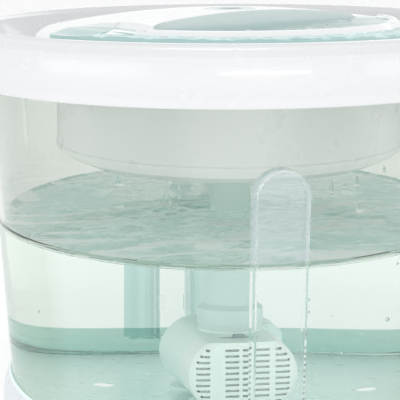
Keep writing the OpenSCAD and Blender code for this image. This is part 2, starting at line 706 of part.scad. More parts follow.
module pump_body() {
    wall = 1.8;
    color("white") difference() {
        union() {
            intersection() {
                oval_bar(split_y, pump_back);
                turned_y(concat([[0, split_y - 1], [pump_w / 2 + 1, split_y - 1]],
                    bend([pump_w / 2 + 1, pump_back - 13], [pump_w / 2 + 0.4, pump_back - 1],
                         [pump_w / 2 - 8, pump_back], 7), [[0, pump_back]]));
            }
            // tongue that the intake cover pushes onto
            oval_bar(split_y - tongue_l, split_y + 0.2, cover_wall + 0.1);
            // outlet spigot on its round boss
            translate([0, 0, pump_z]) cylinder(r = riser_r + 1.2, h = pump_h / 2 + 0.8);
            translate([0, 0, pump_z]) cylinder(r = spigot_r, h = pump_h / 2 + 6.4);
            // boss for the lead gland on the right shoulder
            translate([gland_x, gland_y - 12, gland_z]) rotate([-90, 0, 0])
                cylinder(r = gland_r + 0.9, h = 12);
        }
        // impeller chamber, with a step for the volute cover
        bar_y(chamber_r, -7, 4);
        bar_y(seat_r, split_y - 4, -7);
        // groove of the sealing ring
        difference() {
            bar_y(seal_r + seal_t + 0.02, -7.5, -7 + 2 * seal_t);
            bar_y(seal_r - seal_t - 0.02, -8, 0);
        }
        // space in front of the chamber, inside the tongue
        oval_bar(split_y - 4, split_y - 0.6, cover_wall + wall);
        // rotor well and the seat of the rear bush
        bar_y(well_r, 3, well_end);
        bar_y(bush_r + 0.02, well_end - 1, well_end + 2.4);
        // outlet
        translate([0, 0, pump_z]) cylinder(r = spigot_r - 1.4, h = pump_h);
        // potted space for the core and coils
        core_space();
        // gland's bore
        translate([gland_x, gland_y - 2.6, gland_z]) rotate([-90, 0, 0]) cylinder(r = gland_r, h = 12);
        translate([gland_x, gland_y, gland_z]) rotate([-90, 0, 0]) cylinder(r = gland_r + 0.7, h = 12);
        cup_spots() translate([0, 0, pump_z - pump_h / 2 - eps]) cylinder(r = 1.5, h = 2.2 + eps);
    }
}

core_y0 = 8;
core_y1 = 18;
core_w = 18;
core_h = 19;
module core_space() {
    translate([-core_w / 2, core_y0, pump_z - core_h / 2]) difference() {
        cube([core_w, core_y1 - core_y0, core_h]);
        translate([core_w / 2, -eps, core_h / 2]) rotate([-90, 0, 0]) cylinder(r = well_r + 0.9, h = 12);
    }
}

module stator_core() {
    color("slategray") translate([-core_w / 2 + 0.1, core_y0 + 0.6, pump_z - core_h / 2 + 0.1])
        difference() {
            cube([core_w - 0.2, core_y1 - core_y0 - 1.2, core_h - 0.2]);
            translate([core_w / 2 - 0.1, -eps, core_h / 2 - 0.1]) rotate([-90, 0, 0])
                cylinder(r = well_r + 1.1, h = 12);
            // windows beside the lower limb for the winding
            for (x = [-1, 2 * core_w / 2 - 3.1]) translate([x, -eps, 2.2]) cube([4, 12, 3.2]);
        }
}

module stator_coils() {
    color("peru") for (s = [-1, 1])
        translate([s * (core_w / 2 - 1.6) - 1.3, core_y0 + 0.1, pump_z - core_h / 2 + 2.5])
            cube([2.6, core_y1 - core_y0 - 0.2, 2.6]);
}

bush_r = 2.4;
rotor_y0 = 4.6;
rotor_y1 = well_end - 1.6;

module impeller() {
    color("lightsteelblue") difference() {
        union() {
            turned_y([[0, -5.4], [2.4, -5.4], [2.8, -4.6], [3, 0.8], [blade_r - 0.6, 2], [blade_r, 2.6],
                      [blade_r, 3.2], [magnet_r - 0.6, 3.2], [magnet_r - 0.6, rotor_y0], [0, rotor_y0]]);
            // curved blades
            translate([0, 0, pump_z]) rotate([-90, 0, 0]) round_z(blades) blade();
        }
        bar_y(shaft_r + run, -8, rotor_y0 + 1);
    }
}

// One blade: a slice of a tube wall between hub and rim
module blade() {
    sweep_r = blade_r * 0.62;
    intersection() {
        translate([0, sweep_r, -4.8]) difference() {
            cylinder(r = sweep_r + 0.45, h = 7);
            translate([0, 0, -eps]) cylinder(r = sweep_r - 0.45, h = 8);
        }
        translate([0, 0, -4.8]) difference() {
            cylinder(r = blade_r, h = 7);
            translate([0, 0, -eps]) cylinder(r = 2, h = 8);
        }
        translate([0, -1, -5]) cube([blade_r + 1, sweep_r + 1, 8]);
    }
}

module rotor_magnet() {
    color("dimgray") difference() {
        turned_y([[0, rotor_y0], [magnet_r - 0.4, rotor_y0], [magnet_r, rotor_y0 + 0.4],
                  [magnet_r, rotor_y1 - 0.4], [magnet_r - 0.4, rotor_y1], [0, rotor_y1]]);
        bar_y(shaft_r + run, 0, 30);
    }
}

module rotor_shaft() {
    color("ivory") bar_y(shaft_r, -8.4, well_end + 2);
}

module front_bush() {
    color("black") difference() {
        bar_y(bush_r, -8.6, -6);
        bar_y(shaft_r + 0.02, -9.6, -5);
    }
}

module rear_bush() {
    color("black") difference() {
        bar_y(bush_r, well_end - 0.6, well_end + 2.4);
        bar_y(shaft_r + 0.02, well_end - 2, well_end + 2);
    }
}

// Plate that closes the impeller's chamber, with spokes round its inlet
module volute_cover() {
    inlet_r = 5.2;
    color("white") {
        difference() {
            bar_y(seat_r - 0.05, -8.4, -7);
            bar_y(inlet_r, -9, -6);
        }
        difference() {
            bar_y(bush_r + 1, -8.4, -7);
            bar_y(bush_r, -9, -6);
        }
        for (k = [0 : 2]) translate([0, -7, pump_z]) to_front() rotate([0, 0, 90 + 120 * k])
            translate([bush_r + 0.6, -0.5, 0]) cube([inlet_r - bush_r, 1, 1.4]);
    }
}

module seal_ring() {
    color("black") turned_y(arc(seal_r, -7 + seal_t, seal_t, 0, 345, 23));
}

// Front shell of the pump, with rows of slots cut through its oval face
module intake_cover() {
    color("ivory") difference() {
        intersection() {
            oval_bar(-pump_front, split_y);
            turned_y(concat([[0, split_y], [pump_w / 2 + 1, split_y]],
                bend([pump_w / 2 + 1, -pump_front + 5], [pump_w / 2 + 0.2, -pump_front + 0.4],
                     [pump_w / 2 - 3.4, -pump_front], 5), [[0, -pump_front]]));
        }
        oval_bar(-pump_front + cover_wall, split_y + eps, cover_wall);
        for (k = [0 : slot_rows - 1], c = slot_columns) {
            h = (k - (slot_rows - 1) / 2) * slot_pitch;
            edge = oval_half(h, 1.2);
            x0 = max(c[0], -edge);
            x1 = min(c[1], edge);
            if (x1 - x0 > 1) translate([x0, -pump_front - 1, pump_z + h - slot_t / 2])
                cube([x1 - x0, cover_wall + 2, slot_t]);
        }
        // track of the flow slider
        translate([-5.5, slider_y - 1.2, pump_top - cover_wall - 1]) cube([11, 2.4, 4]);
    }
}
// Left and right end of each column of slots
slot_columns = [[-13.8, -9.8], [-5.4, -1.4], [-0.4, 1.9], [3.1, 7.3], [9, 13.2]];

slider_y = -13.6;
module flow_slider() {
    color("gray") {
        translate([-2.8, slider_y - 2, pump_top - cover_wall - 1.5]) cube([5.6, 4, 1.1]);
        translate([-1.6, slider_y - 0.9, pump_top - cover_wall - 0.5]) cube([3.2, 1.8, cover_wall + 1.5]);
    }
}

module intake_sponge() {
    color("dimgray") difference() {
        oval_bar(-pump_front + cover_wall + 0.2, -pump_front + cover_wall + 4.2, cover_wall + 0.3);
    }
}

// Places of the suction cups: to the sides, near the split and near the rear
cup_x = pump_w / 4;
cup_front_y = split_y + 5;
cup_rear_y = pump_back - 7;
module cup_spots() {
    for (x = [-cup_x, cup_x], y = [cup_front_y, cup_rear_y]) translate([x, y, 0]) children();
}

module suction_cups() {
    under_z = pump_z - pump_h / 2;
    color("lightgray") cup_spots() rotate_extrude() polygon(concat(
        [[0, under_z + 2.1], [0, under_z - 0.8], [2, under_z - 1]],
        [[4.2, floor_z], [4.8, floor_z]],
        bend([4.8, floor_z + 0.3], [3.6, under_z - 0.2], [2.4, under_z], 4),
        [[1.45, under_z], [1.45, under_z + 2.1]]));
}

gland_x = pump_w / 2 - 4.6;
gland_y = 21;
gland_z = pump_z + 6.4;
module lead_gland() {
    lead_r = 1.6;
    color([0.55, 0.53, 0.6]) translate([gland_x, gland_y, gland_z]) rotate([-90, 0, 0])
        rotate_extrude() polygon([[lead_r, -2.5], [gland_r - 0.05, -2.5], [gland_r - 0.05, 0],
            [gland_r + 0.6, 0], [gland_r + 0.6, 1.6], [gland_r - 0.4, 2.4], [2.8, 6.4], [2.4, 6.8],
            [lead_r, 6.8]]);
}

stand_shell();
stand_feet();
tank();
sight_channel();
lead_guide();
ring();
basin();
basin_floor();
cartridge_cup();
cartridge_lid();
filter_felt();
filter_carbon();
drinking_tray();
spout_ring();
riser_tube();
outlet_sleeve();
pump_body();
intake_cover();
intake_sponge();
flow_slider();
volute_cover();
seal_ring();
impeller();
rotor_magnet();
rotor_shaft();
front_bush();
rear_bush();
stator_core();
stator_coils();
suction_cups();
lead_gland();
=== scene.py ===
import math
import bmesh
import bpy
from mathutils import Matrix, Vector, noise


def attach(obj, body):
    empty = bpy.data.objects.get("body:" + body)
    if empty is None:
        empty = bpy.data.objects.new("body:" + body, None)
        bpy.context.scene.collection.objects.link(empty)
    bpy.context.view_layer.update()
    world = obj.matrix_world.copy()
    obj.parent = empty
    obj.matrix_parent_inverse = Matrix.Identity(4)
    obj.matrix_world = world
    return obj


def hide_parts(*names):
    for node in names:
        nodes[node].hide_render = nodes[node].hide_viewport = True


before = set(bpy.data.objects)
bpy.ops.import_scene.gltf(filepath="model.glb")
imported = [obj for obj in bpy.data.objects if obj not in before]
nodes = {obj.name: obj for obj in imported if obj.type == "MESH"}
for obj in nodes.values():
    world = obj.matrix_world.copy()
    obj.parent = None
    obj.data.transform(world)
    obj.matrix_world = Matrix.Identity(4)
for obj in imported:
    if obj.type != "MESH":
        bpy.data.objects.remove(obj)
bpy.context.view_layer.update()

scene = bpy.context.scene
MM = 0.001

# ---------- sizes shared with the solids, in mm ----------
SEAT, RIM, CREST = 19.6, 141.0, 155.0           # tank's seat, tank's rim, tray's upper edge
FOOT_R, DRAFT, WALL = 81.0, 2.95, 2.4           # tank's radius at its seat, draft in degrees, wall
FOOT_ROUND, RIM_CUT = 5, 0.6                    # tank's rounded foot, and the chamfers on its rim
NOTCH_R, NOTCH_DEEP = 3.5, 3                    # notch for the lead, and its straight sides
DOME_TOP, DOME_DROP, DOME_R = 158.9, 6.0, 65.0  # tray's dome
BASIN_FOOT = 107                                # underside of the basin's step
TAN = math.tan(math.radians(DRAFT))
TURN = math.radians(29)                         # how far the tray is turned round Z

# ---------- sizes of the scene's own pieces, in mm ----------
LEVEL = 86.6                                    # water in the tank
POOL_Z = 154.4                                  # water in the bowl
SINK = 0.06                                     # how far the tank's water reaches into the stand's seat
SEG = 288                                       # steps round the tank

# ---------- camera: bearing, tilt, place in metres, focal length and frame in pixels ----------
AZ = math.radians(-10.8)
PITCH, YAW, ROLL = math.radians(12.77), math.radians(-1.47), math.radians(-0.22)
CAM_BACK, CAM_UP = 0.430, 0.1865
FOCAL, FRAME, SENSOR = 1199, 400, 36

PLASTIC_IOR, WATER_IOR, FROST_IOR = 1.49, 1.33, 1.12
SKIN = 0.000012                                 # depth of a glossy moulding's texture, in metres


def tank_out(z):
    return FOOT_R + (z - SEAT) * TAN


def tank_in(z):
    return tank_out(z) - WALL


def dome_at(r):
    return DOME_TOP - DOME_DROP * (r / DOME_R) ** 2


def add_object(name, data):
    o = bpy.data.objects.new(name, data)
    scene.collection.objects.link(o)
    return o


def camera():
    ax = Vector((math.cos(AZ), math.sin(AZ), 0))
    ay = Vector((-math.sin(AZ), math.cos(AZ), 0))
    fwd = (ax * (math.sin(YAW) * math.cos(PITCH)) + ay * (math.cos(YAW) * math.cos(PITCH))
           - Vector((0, 0, math.sin(PITCH))))
    right = ax * math.cos(YAW) - ay * math.sin(YAW)
    up = right.cross(fwd)
    rolled_right = right * math.cos(ROLL) + up * math.sin(ROLL)
    rolled_up = up * math.cos(ROLL) - right * math.sin(ROLL)
    rot = Matrix((rolled_right, rolled_up, -fwd)).transposed().to_4x4()
    data = bpy.data.cameras.new("camera")
    data.sensor_width = SENSOR
    data.lens = FOCAL / FRAME * SENSOR
    data.clip_start, data.clip_end = 0.01, 50
    cam = add_object("camera", data)
    cam.matrix_world = Matrix.Translation(ay * -CAM_BACK + Vector((0, 0, CAM_UP))) @ rot
    scene.camera = cam


camera()


# ---------- node helpers ----------
def new_mat(name):
    m = bpy.data.materials.new(name)
    m.use_nodes = True
    nt = m.node_tree
    nt.nodes.clear()
    return m, nt, nt.nodes.new("ShaderNodeOutputMaterial")


def node(nt, kind, **inputs):
    n = nt.nodes.new(kind)
    for k, v in inputs.items():
        n.inputs[k.replace("_", " ")].default_value = v
    return n


def coords(nt, scale=(1.0, 1.0, 1.0), turn=0.0):
    c = nt.nodes.new("ShaderNodeTexCoord")
    m = nt.nodes.new("ShaderNodeMapping")
    m.inputs["Rotation"].default_value = (0, 0, -turn)
    m.inputs["Scale"].default_value = scale
    nt.links.new(c.outputs["Object"], m.inputs["Vector"])
    return m.outputs["Vector"]


def along(nt, axis):
    """The place along one axis of the object, in metres."""
    c = nt.nodes.new("ShaderNodeTexCoord")
    sep = nt.nodes.new("ShaderNodeSeparateXYZ")
    nt.links.new(c.outputs["Object"], sep.inputs[0])
    return sep.outputs[axis]


def noise_of(nt, vec, scale, detail=3.0):
    n = node(nt, "ShaderNodeTexNoise", Scale=scale, Detail=detail, Roughness=0.5)
    nt.links.new(vec, n.inputs["Vector"])
    return n.outputs["Fac"]


def spread(nt, fac, lo, hi, a=0.3, b=0.7):
    """Stretches what lies between a and b to between lo and hi."""
    n = node(nt, "ShaderNodeMapRange", From_Min=a, From_Max=b, To_Min=lo, To_Max=hi)
    nt.links.new(fac, n.inputs["Value"])
    return n.outputs["Result"]


def blend_rgb(nt, fac, a, b):
    """Mixes two colours; inputs 6 and 7 and output 2 are the node's colour sockets."""
    n = nt.nodes.new("ShaderNodeMix")
    n.data_type = "RGBA"
    nt.links.new(fac, n.inputs["Factor"])
    for s, v in ((6, a), (7, b)):
        if isinstance(v, tuple):
            n.inputs[s].default_value = v + (1,) * (4 - len(v))
        else:
            nt.links.new(v, n.inputs[s])
    return n.outputs[2]


def mix_shaders(nt, fac, a, b):
    n = nt.nodes.new("ShaderNodeMixShader")
    if isinstance(fac, float):
        n.inputs[0].default_value = fac
    else:
        nt.links.new(fac, n.inputs[0])
    nt.links.new(a, n.inputs[1])
    nt.links.new(b, n.inputs[2])
    return n


def larger(nt, a, b):
    n = nt.nodes.new("ShaderNodeMath")
    n.operation = "MAXIMUM"
    nt.links.new(a, n.inputs[0])
    nt.links.new(b, n.inputs[1])
    return n.outputs[0]


def bump_of(nt, height, dist, strength=1.0):
    n = node(nt, "ShaderNodeBump", Strength=strength, Distance=dist)
    nt.links.new(height, n.inputs["Height"])
    return n.outputs["Normal"]


def from_axis(nt, lo, hi):
    """A value that falls from 1 to 0 between two distances from the Z axis, in metres."""
    c = nt.nodes.new("ShaderNodeTexCoord")
    flat = node(nt, "ShaderNodeVectorMath")
    flat.operation = "MULTIPLY"
    flat.inputs[1].default_value = (1, 1, 0)
    nt.links.new(c.outputs["Object"], flat.inputs[0])
    size = node(nt, "ShaderNodeVectorMath")
    size.operation = "LENGTH"
    nt.links.new(flat.outputs[0], size.inputs[0])
    return spread(nt, size.outputs["Value"], 1.0, 0.0, lo, hi)


def striped(nt, stops):
    """Colours by distance from the middle plane, as (mm, colour) stops."""
    side = nt.nodes.new("ShaderNodeMath")
    side.operation = "ABSOLUTE"
    nt.links.new(along(nt, "X"), side.inputs[0])
    far = stops[-1][0]
    ramp = nt.nodes.new("ShaderNodeValToRGB")
    el = ramp.color_ramp.elements
    while len(el) < len(stops):
        el.new(0.5)
    for e, (at, col) in zip(el, stops):
        e.position, e.color = at / far, col + (1,)
    nt.links.new(spread(nt, side.outputs[0], 0.0, 1.0, 0.0, far * MM), ramp.inputs["Fac"])
    return ramp.outputs["Color"]


def plastic(name, a, b, rough=(0.22, 0.34), grain=SKIN, scale=60, coat=0.0, painted_seat_light=None):
    """Moulded plastic: two near shades in soft flow marks, fine skin texture.
    The last argument is painted light: a brighter colour inside a distance from the Z axis, and the
    distances where it starts and ends."""
    m, nt, out = new_mat(name)
    p = node(nt, "ShaderNodeBsdfPrincipled", IOR=PLASTIC_IOR)
    v = coords(nt)
    flow = noise_of(nt, v, scale * 0.35, 2)
    fine = noise_of(nt, v, scale * 22, 4)
    skin = blend_rgb(nt, spread(nt, flow, 0, 1), a, b)
    # painted light: a brighter colour near the Z axis
    if painted_seat_light:
        skin = blend_rgb(nt, from_axis(nt, painted_seat_light[1], painted_seat_light[2]), skin, painted_seat_light[0])
    nt.links.new(skin, p.inputs["Base Color"])
    nt.links.new(spread(nt, noise_of(nt, v, scale * 1.7), *rough), p.inputs["Roughness"])
    nt.links.new(bump_of(nt, fine, grain, 0.5), p.inputs["Normal"])
    if coat:
        p.inputs["Coat Weight"].default_value = coat
        p.inputs["Coat Roughness"].default_value = 0.06
    nt.links.new(p.outputs[0], out.inputs["Surface"])
    return m


def through(nt, out, shader, tint, also_diffuse=True):
    """Lets lamps, and light bounced off matt things, pass straight through a clear piece."""
    path = nt.nodes.new("ShaderNodeLightPath")
    tr = nt.nodes.new("ShaderNodeBsdfTransparent")
    tr.inputs["Color"].default_value = tint + (1,)
    fac = path.outputs["Is Shadow Ray"]
    if also_diffuse:
        fac = larger(nt, fac, path.outputs["Is Diffuse Ray"])
    nt.links.new(mix_shaders(nt, fac, shader, tr.outputs[0]).outputs[0], out.inputs["Surface"])


def clear(name, tint, ior, rough=(0.0, 0.02), scale=40, absorb=None, shade=None,
          lit=None, edge=None, foot=None, across=None, veil=None, glint_streaks=None):
    """Clear plastic or water with real refraction. absorb is the volume's (colour, density), edge a
    (colour, from, to) by facing, foot a (colour, from, to) by height in mm, across stops for
    striped(), veil a (colour, share) of matt surface, the last a (colour, share) of painted reflection
    streaks in it."""
    m, nt, out = new_mat(name)
    p = node(nt, "ShaderNodeBsdfPrincipled", IOR=ior)
    p.inputs["Transmission Weight"].default_value = 1.0
    v = coords(nt)
    pale = tuple(min(1, c * 1.01) for c in tint)
    col = blend_rgb(nt, spread(nt, noise_of(nt, v, scale * 0.4), 0, 1), tint, shade or pale)
    if edge:
        lw = node(nt, "ShaderNodeLayerWeight", Blend=0.5)
        col = blend_rgb(nt, spread(nt, lw.outputs["Facing"], 0, 1, edge[1], edge[2]), col, edge[0])
    if foot:
        low = spread(nt, along(nt, "Z"), 1.0, 0.0, foot[1] * MM, foot[2] * MM)
        col = blend_rgb(nt, low, col, foot[0])
    if across:
        col = striped(nt, across)
    nt.links.new(col, p.inputs["Base Color"])
    nt.links.new(spread(nt, noise_of(nt, v, scale), *rough), p.inputs["Roughness"])
    shader = p.outputs[0]
    if veil:
        milk = nt.nodes.new("ShaderNodeBsdfDiffuse")
        milk.inputs["Color"].default_value = veil[0] + (1,)
        part = mix_shaders(nt, veil[1], shader, milk.outputs[0])
        shader = part.outputs[0]
    # white streaks in the veil: painted reflections of the ripples
    if glint_streaks:
        wav = node(nt, "ShaderNodeTexNoise", Scale=1.0, Detail=2.0, Roughness=0.5, Distortion=2.6)
        nt.links.new(coords(nt, (13.0, 44.0, 1.0), AZ), wav.inputs["Vector"])
        glint_mask = wav.outputs["Fac"]
        nt.links.new(spread(nt, glint_mask, veil[1], glint_streaks[1], 0.52, 0.57), part.inputs["Fac"])
        white = spread(nt, glint_mask, 0, 1, 0.5, 0.66)
        nt.links.new(blend_rgb(nt, white, veil[0], glint_streaks[0]), milk.inputs["Color"])
    through(nt, out, shader, lit or tuple(c ** 0.5 for c in tint))
    if absorb:
        fog = node(nt, "ShaderNodeVolumeAbsorption", Density=absorb[1])
        fog.inputs["Color"].default_value = absorb[0] + (1,)
        nt.links.new(fog.outputs[0], out.inputs["Volume"])
    return m


def frosted(name, col, see, rough, lit=0.5, glow=0.35, shade_bands=None):
    """Milky plastic that shows blurred shapes behind it; the last argument is a (colour, scale) of
    darker upright bands of painted shade.
    """
    m, nt, out = new_mat(name)
    p = node(nt, "ShaderNodeBsdfPrincipled", IOR=FROST_IOR)
    p.inputs["Transmission Weight"].default_value = see
    v = coords(nt)
    darker = tuple(c * 0.97 for c in col)
    shade = blend_rgb(nt, spread(nt, noise_of(nt, v, 14), 0, 1), col, darker)
    # darker upright bands of painted shade
    if shade_bands:
        long_v = coords(nt, (1.0, 1.0, 0.02))
        shade_band = spread(nt, noise_of(nt, long_v, shade_bands[1], 1.0), 0, 1, 0.38, 0.62)
        shade = blend_rgb(nt, shade_band, shade, shade_bands[0])
    nt.links.new(shade, p.inputs["Base Color"])
    nt.links.new(spread(nt, noise_of(nt, v, 90), rough - 0.04, rough + 0.04), p.inputs["Roughness"])
    nt.links.new(bump_of(nt, noise_of(nt, v, 900, 3), 0.00004, 0.5), p.inputs["Normal"])
    tl = nt.nodes.new("ShaderNodeBsdfTranslucent")
    tl.inputs["Color"].default_value = col + (1,)
    mixed = mix_shaders(nt, glow, p.outputs[0], tl.outputs[0])
    through(nt, out, mixed.outputs[0], tuple(c * lit for c in col), also_diffuse=False)
    return m


def spongy(name, a, b, cell, depth):
    """Open cells or grains in two shades."""
    m, nt, out = new_mat(name)
    p = node(nt, "ShaderNodeBsdfPrincipled", Roughness=0.95)
    v = coords(nt)
    vo = node(nt, "ShaderNodeTexVoronoi", Scale=cell)
    nt.links.new(v, vo.inputs["Vector"])
    wall = spread(nt, vo.outputs["Distance"], 0, 1, 0.1, 0.6)
    nt.links.new(blend_rgb(nt, wall, a, b), p.inputs["Base Color"])
    nt.links.new(bump_of(nt, vo.outputs["Distance"], depth), p.inputs["Normal"])
    nt.links.new(p.outputs[0], out.inputs["Surface"])
    return m


def metal(name, a, b, rough, stripes):
    """Metal in thin layers or wires: stripes is the stretch of the noise along each axis."""
    m, nt, out = new_mat(name)
    p = node(nt, "ShaderNodeBsdfPrincipled", Metallic=1.0)
    v = coords(nt, stripes)
    n = noise_of(nt, v, 300, 4)
    nt.links.new(blend_rgb(nt, spread(nt, n, 0, 1), a, b), p.inputs["Base Color"])
    nt.links.new(spread(nt, n, *rough), p.inputs["Roughness"])
    nt.links.new(bump_of(nt, n, 0.00005), p.inputs["Normal"])
    nt.links.new(p.outputs[0], out.inputs["Surface"])
    return m


# ---------- materials ----------
WHITE = plastic("white_gloss", (0.725, 0.735, 0.74), (0.745, 0.755, 0.76), (0.20, 0.30), coat=0.5)
TRAY = plastic("tray_gloss", (0.90, 0.91, 0.92), (0.93, 0.935, 0.945), (0.16, 0.26), coat=0.5)
# The stand's seat under the tank is painted brighter and teal: painted light for the light that reaches
# it through the water.
STAND = plastic("stand_gloss", (0.71, 0.755, 0.775), (0.73, 0.775, 0.795), (0.24, 0.36), coat=0.2,
                painted_seat_light=((0.84, 0.975, 0.955), 0.0822, 0.0828))
PUMP = plastic("pump_satin", (0.88, 0.975, 0.955), (0.91, 0.985, 0.97), (0.38, 0.5), 0.00008, 90)
COVER = plastic("cover_satin", (0.96, 0.985, 0.97), (0.98, 0.99, 0.98), (0.38, 0.5), 0.00008, 90)
DARK = plastic("soft_black", (0.02, 0.02, 0.02), (0.04, 0.04, 0.04), (0.5, 0.7))
GREY = plastic("grey_satin", (0.42, 0.46, 0.50), (0.48, 0.52, 0.55), (0.4, 0.5))
SPOUT = plastic("spout_satin", (0.60, 0.68, 0.67), (0.66, 0.74, 0.73), (0.3, 0.4), coat=0.2)
BLUE = plastic("impeller_satin", (0.28, 0.42, 0.58), (0.33, 0.47, 0.62), (0.3, 0.42))
CERAMIC = plastic("ceramic_white", (0.80, 0.80, 0.77), (0.86, 0.86, 0.83), (0.1, 0.2))
FERRITE = plastic("ferrite", (0.035, 0.035, 0.038), (0.06, 0.06, 0.065), (0.35, 0.55), 0.0001, 160)
GLAND = plastic("gland_grey", (0.50, 0.53, 0.62), (0.56, 0.59, 0.67), (0.45, 0.6))
SILICONE = frosted("silicone", (0.90, 0.97, 0.96), 0.10, 0.4, lit=0.9, glow=0.15)
# The basin's darker upright bands are painted shade, for the shade of the parts seen through its wall.
BASIN = frosted("basin_frosted", (0.95, 0.97, 0.95), 0.12, 0.30, lit=0.85, glow=0.10,
                shade_bands=((0.80, 0.84, 0.82), 20))
RUBBER = plastic("foot_rubber", (0.55, 0.56, 0.57), (0.62, 0.63, 0.64), (0.6, 0.75), 0.00012, 120)
CART = plastic("cartridge_satin", (0.78, 0.80, 0.79), (0.84, 0.85, 0.84), (0.4, 0.5))
FELT = spongy("felt", (0.80, 0.80, 0.78), (0.92, 0.92, 0.90), 2600, 0.0003)
CARBON = spongy("carbon_grains", (0.015, 0.015, 0.016), (0.07, 0.07, 0.072), 900, 0.0008)
FOAM = spongy("foam", (0.62, 0.72, 0.70), (0.86, 0.94, 0.92), 1400, 0.0004)
STEEL = metal("core_steel", (0.42, 0.43, 0.45), (0.60, 0.61, 0.63), (0.3, 0.5), (0.1, 12, 0.1))
COPPER = metal("coil_copper", (0.62, 0.27, 0.12), (0.80, 0.42, 0.22), (0.25, 0.4), (0.2, 30, 0.2))
# The dry wall darkens what is seen through it far more than the lamps' light: partly a haze on the wall,
# partly painted shade from the ring above.
TANK = clear("tank_clear", (0.79, 0.82, 0.785), PLASTIC_IOR, (0.0, 0.015), lit=(0.975, 0.98, 0.975),
             edge=((0.72, 0.75, 0.71), 0.35, 0.6))
DEEP = ((0.25, 0.60, 0.50), 1.8)
WATER = clear("tank_water", (0.985, 0.985, 0.955), WATER_IOR, (0.0, 0.0), absorb=DEEP,
              lit=(1.0, 1.0, 1.0), edge=((0.79, 0.84, 0.735), 0.36, 0.46),
              foot=((0.78, 0.93, 0.905), 21, 27))
# The white streaks on the water's top are painted reflections of its ripples.
WATER_TOP = clear("tank_water_top", (0.80, 0.95, 0.93), WATER_IOR, (0.0, 0.0), scale=200, absorb=DEEP,
                  shade=(0.94, 0.995, 0.99), lit=(1.0, 1.0, 1.0), veil=((0.84, 0.98, 0.96), 0.26),
                  glint_streaks=((0.99, 1.0, 1.0), 0.85))
# The dry channel's bluish tint and bluish matt veil are painted reflection, for the sheen of the dry
# window.
CHAN_DRY = clear("channel_dry", (0.95, 0.97, 0.99), 1.08, (0.02, 0.06), shade=(0.93, 0.955, 0.99),
                 veil=((0.90, 0.93, 0.98), 0.20))
CHAN_WET = clear("channel_wet", (0.98, 0.987, 0.99), 1.03, (0.02, 0.06),
                 veil=((0.93, 0.95, 0.96), 0.04))
# Bands across the wet lead guide by distance from its middle: the rails' teal, with their lit and shaded
# sides and a highlight painted in as lighter and darker bands.
RAIL_SHADE_AND_HIGHLIGHT = ((3.6, (0.97, 0.98, 0.975)), (4.0, (0.53, 0.675, 0.67)), (5.9, (0.53, 0.675, 0.67)),
         (6.6, (0.69, 0.83, 0.82)), (7.2, (0.69, 0.83, 0.82)), (8.2, (0.575, 0.745, 0.73)),
         (11.2, (0.60, 0.77, 0.76)))
GUIDE_DRY = clear("guide_dry", (0.92, 0.95, 0.945), 1.20, (0.05, 0.12))
GUIDE_WET = clear("guide_wet", (0.97, 0.98, 0.975), 1.06, (0.05, 0.12), across=RAIL_SHADE_AND_HIGHLIGHT)
RISER_DRY = frosted("riser_dry", (0.80, 0.91, 0.89), 0.12, 0.25, lit=0.8, glow=0.12)
RISER_WET = frosted("riser_wet", (0.86, 0.95, 0.94), 0.10, 0.3, lit=0.9, glow=0.08)
# The bowl's water is made strongly teal by absorption: painted reflection, for the teal surroundings
# mirrored on its surface.
POOL = clear("bowl_water", (0.93, 1.0, 0.985), WATER_IOR, absorb=((0.05, 0.56, 0.50), 22.0))
# The wet strip's dark teal tint is painted shade: thin clear water would leave the shoulder white.
FILM = clear("film_water", (0.42, 0.64, 0.61), WATER_IOR, shade=(0.60, 0.77, 0.75), scale=80)
DROP = clear("drop_water", (0.985, 1.0, 0.995), WATER_IOR)
BUBBLE = clear("bubble", (0.97, 0.99, 0.98), 0.76)

PAINT = {
    "stand_shell": STAND, "stand_feet": RUBBER, "ring": WHITE, "basin": BASIN, "basin_floor": BASIN,
    "cartridge_cup": CART, "cartridge_lid": CART, "filter_felt": FELT, "filter_carbon": CARBON,
    "drinking_tray": TRAY, "spout_ring": SPOUT, "outlet_sleeve": SILICONE, "pump_body": PUMP,
    "intake_cover": COVER, "intake_sponge": FOAM, "flow_slider": GREY, "volute_cover": PUMP,
    "seal_ring": DARK, "impeller": BLUE, "rotor_magnet": FERRITE, "rotor_shaft": CERAMIC,
    "front_bush": DARK, "rear_bush": DARK, "stator_core": STEEL, "stator_coils": COPPER,
    "suction_cups": SILICONE, "lead_gland": GLAND,
}
for name, m in PAINT.items():
    o = nodes[name]
    o.data.materials.clear()
    o.data.materials.append(m)


# ---------- mesh helpers; sizes in mm, angles in degrees ----------
def add_mesh(name, verts, faces, m, smooth=40):
    """An object from points and faces, smooth up to an angle between faces."""
    me = bpy.data.meshes.new(name)
    me.from_pydata([tuple(c * MM for c in v) for v in verts], [], faces)
    bm = bmesh.new()
    bm.from_mesh(me)
    bmesh.ops.recalc_face_normals(bm, faces=bm.faces)
    bm.to_mesh(me)
    bm.free()
    for p in me.polygons:
        p.use_smooth = True
    me.set_sharp_from_angle(angle=math.radians(smooth))
    me.materials.append(m)
    return add_object(name, me)


def turned(r, z, seg):
    """The points of a circle round Z."""
    turns = [2 * math.pi * k / seg for k in range(seg)]
    return [(r * math.cos(t), r * math.sin(t), z) for t in turns]


